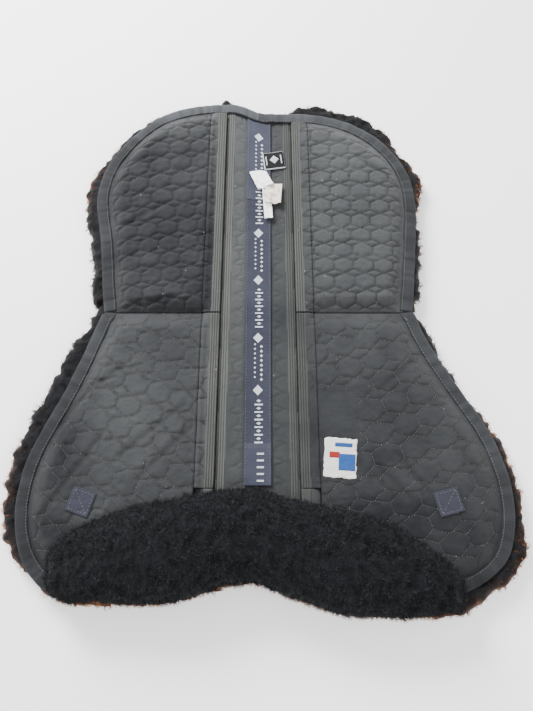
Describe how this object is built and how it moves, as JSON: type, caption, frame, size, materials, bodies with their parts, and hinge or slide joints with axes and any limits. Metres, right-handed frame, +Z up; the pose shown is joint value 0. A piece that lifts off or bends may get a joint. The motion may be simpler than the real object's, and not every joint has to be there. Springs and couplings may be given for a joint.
{
  "type": "saddle half pad",
  "caption": "Quilted cotton saddle half pad with sheepskin lining and front roll, a free spine channel and insert pockets closed by flaps, folding along the spine.",
  "frame": {"origin": "under the middle of the pad's bounding box, on the surface that the fleece lies on", "axes": "+Z up, -Y towards the horse's head (the roll), +X to the right of someone who stands in front of the roll and looks along the pad"},
  "size_m": [0.5382, 0.5964, 0.0663],
  "materials": {
    "sheepskin": "matt",
    "edge_binding": "matt",
    "spine_webbing": "satin",
    "panel_cotton": "matt",
    "quilted_cotton": "matt",
    "hook_and_loop": "matt",
    "rib_stitching": "matt",
    "felt_insert": "matt",
    "anchor_webbing": "satin",
    "woven_label": "satin",
    "tag_pink": "matt",
    "tag_white": "matt",
    "label_white": "matt"
  },
  "bodies": {
    "spine": {"rear_binding_centre": "edge_binding", "roll_middle": "sheepskin", "size_label": "woven_label", "spine_panel": "panel_cotton", "spine_tape_front": "spine_webbing", "spine_tape_middle": "spine_webbing", "spine_tape_rear": "spine_webbing"},
    "care_tags": {"care_tag_narrow": "tag_white", "care_tag_short": "tag_white", "care_tag_wide": "tag_pink"},
    "left_side": {"left_base_quilt": "quilted_cotton", "left_front_binding": "edge_binding", "left_front_cover": "quilted_cotton", "left_front_hook_strip": "hook_and_loop", "left_lining": "sheepskin", "left_rear_binding": "edge_binding", "left_rear_cover": "quilted_cotton", "left_rear_hook_strip": "hook_and_loop", "left_rib_tape": "rib_stitching", "left_roll": "sheepskin", "left_strap_anchor": "anchor_webbing"},
    "left_rear_closure": {"left_rear_flap": "quilted_cotton", "left_rear_loop_strip": "hook_and_loop"},
    "left_rear_inserts": {"left_rear_full_insert": "felt_insert", "left_rear_half_insert": "felt_insert"},
    "left_front_closure": {"left_front_flap": "quilted_cotton", "left_front_loop_strip": "hook_and_loop"},
    "left_front_inserts": {"left_front_full_insert": "felt_insert", "left_front_half_insert": "felt_insert"},
    "right_side": {"right_base_quilt": "quilted_cotton", "right_front_binding": "edge_binding", "right_front_cover": "quilted_cotton", "right_front_hook_strip": "hook_and_loop", "right_lining": "sheepskin", "right_rear_binding": "edge_binding", "right_rear_cover": "quilted_cotton", "right_rear_hook_strip": "hook_and_loop", "right_rib_tape": "rib_stitching", "right_roll": "sheepskin", "right_strap_anchor": "anchor_webbing", "sewn_label": "label_white"},
    "right_rear_closure": {"right_rear_flap": "quilted_cotton", "right_rear_loop_strip": "hook_and_loop"},
    "right_rear_inserts": {"right_rear_full_insert": "felt_insert", "right_rear_half_insert": "felt_insert"},
    "right_front_closure": {"right_front_flap": "quilted_cotton", "right_front_loop_strip": "hook_and_loop"},
    "right_front_inserts": {"right_front_full_insert": "felt_insert", "right_front_half_insert": "felt_insert"}
  },
  "joints": [
    {"name": "care_tags_flip", "type": "hinge", "parent": "spine", "child": "care_tags", "pos_m": [0, 0.2033, 0.0253], "axis": [-1, 0, 0], "range_deg": [0, 150]},
    {"name": "left_side_fold", "type": "hinge", "parent": "spine", "child": "left_side", "pos_m": [-0.03, 0, 0.0183], "axis": [0, -1, 0], "range_deg": [0, 85]},
    {"name": "left_rear_insert_slide", "type": "slide", "parent": "left_side", "child": "left_rear_inserts", "axis": [1, 0, 0], "range_m": [0, 0.05]},
    {"name": "left_rear_flap_open", "type": "hinge", "parent": "left_side", "child": "left_rear_closure", "pos_m": [-0.06159, 0.146, 0.03365], "axis": [-0.0126, -0.9999, 0], "range_deg": [0, 120]},
    {"name": "left_front_insert_slide", "type": "slide", "parent": "left_side", "child": "left_front_inserts", "axis": [1, 0, 0], "range_m": [0, 0.05]},
    {"name": "left_front_flap_open", "type": "hinge", "parent": "left_side", "child": "left_front_closure", "pos_m": [-0.06441, -0.0785, 0.03365], "axis": [-0.0126, -0.9999, 0], "range_deg": [0, 120]},
    {"name": "right_side_fold", "type": "hinge", "parent": "spine", "child": "right_side", "pos_m": [0.03, 0, 0.0183], "axis": [0, 1, 0], "range_deg": [0, 85]},
    {"name": "right_rear_insert_slide", "type": "slide", "parent": "right_side", "child": "right_rear_inserts", "axis": [-1, 0, 0], "range_m": [0, 0.05]},
    {"name": "right_rear_flap_open", "type": "hinge", "parent": "right_side", "child": "right_rear_closure", "pos_m": [0.06159, 0.146, 0.03365], "axis": [-0.0126, 0.9999, 0], "range_deg": [0, 120]},
    {"name": "right_front_insert_slide", "type": "slide", "parent": "right_side", "child": "right_front_inserts", "axis": [-1, 0, 0], "range_m": [0, 0.05]},
    {"name": "right_front_flap_open", "type": "hinge", "parent": "right_side", "child": "right_front_closure", "pos_m": [0.06441, -0.0785, 0.03365], "axis": [-0.0126, 0.9999, 0], "range_deg": [0, 120]}
  ],
  "couplings": [
    {"joint": "left_rear_flap_open", "follows": "left_rear_insert_slide", "rad_per_m": 41.8},
    {"joint": "left_front_flap_open", "follows": "left_front_insert_slide", "rad_per_m": 41.8},
    {"joint": "right_rear_flap_open", "follows": "right_rear_insert_slide", "rad_per_m": 41.8},
    {"joint": "right_front_flap_open", "follows": "right_front_insert_slide", "rad_per_m": 41.8}
  ]
}
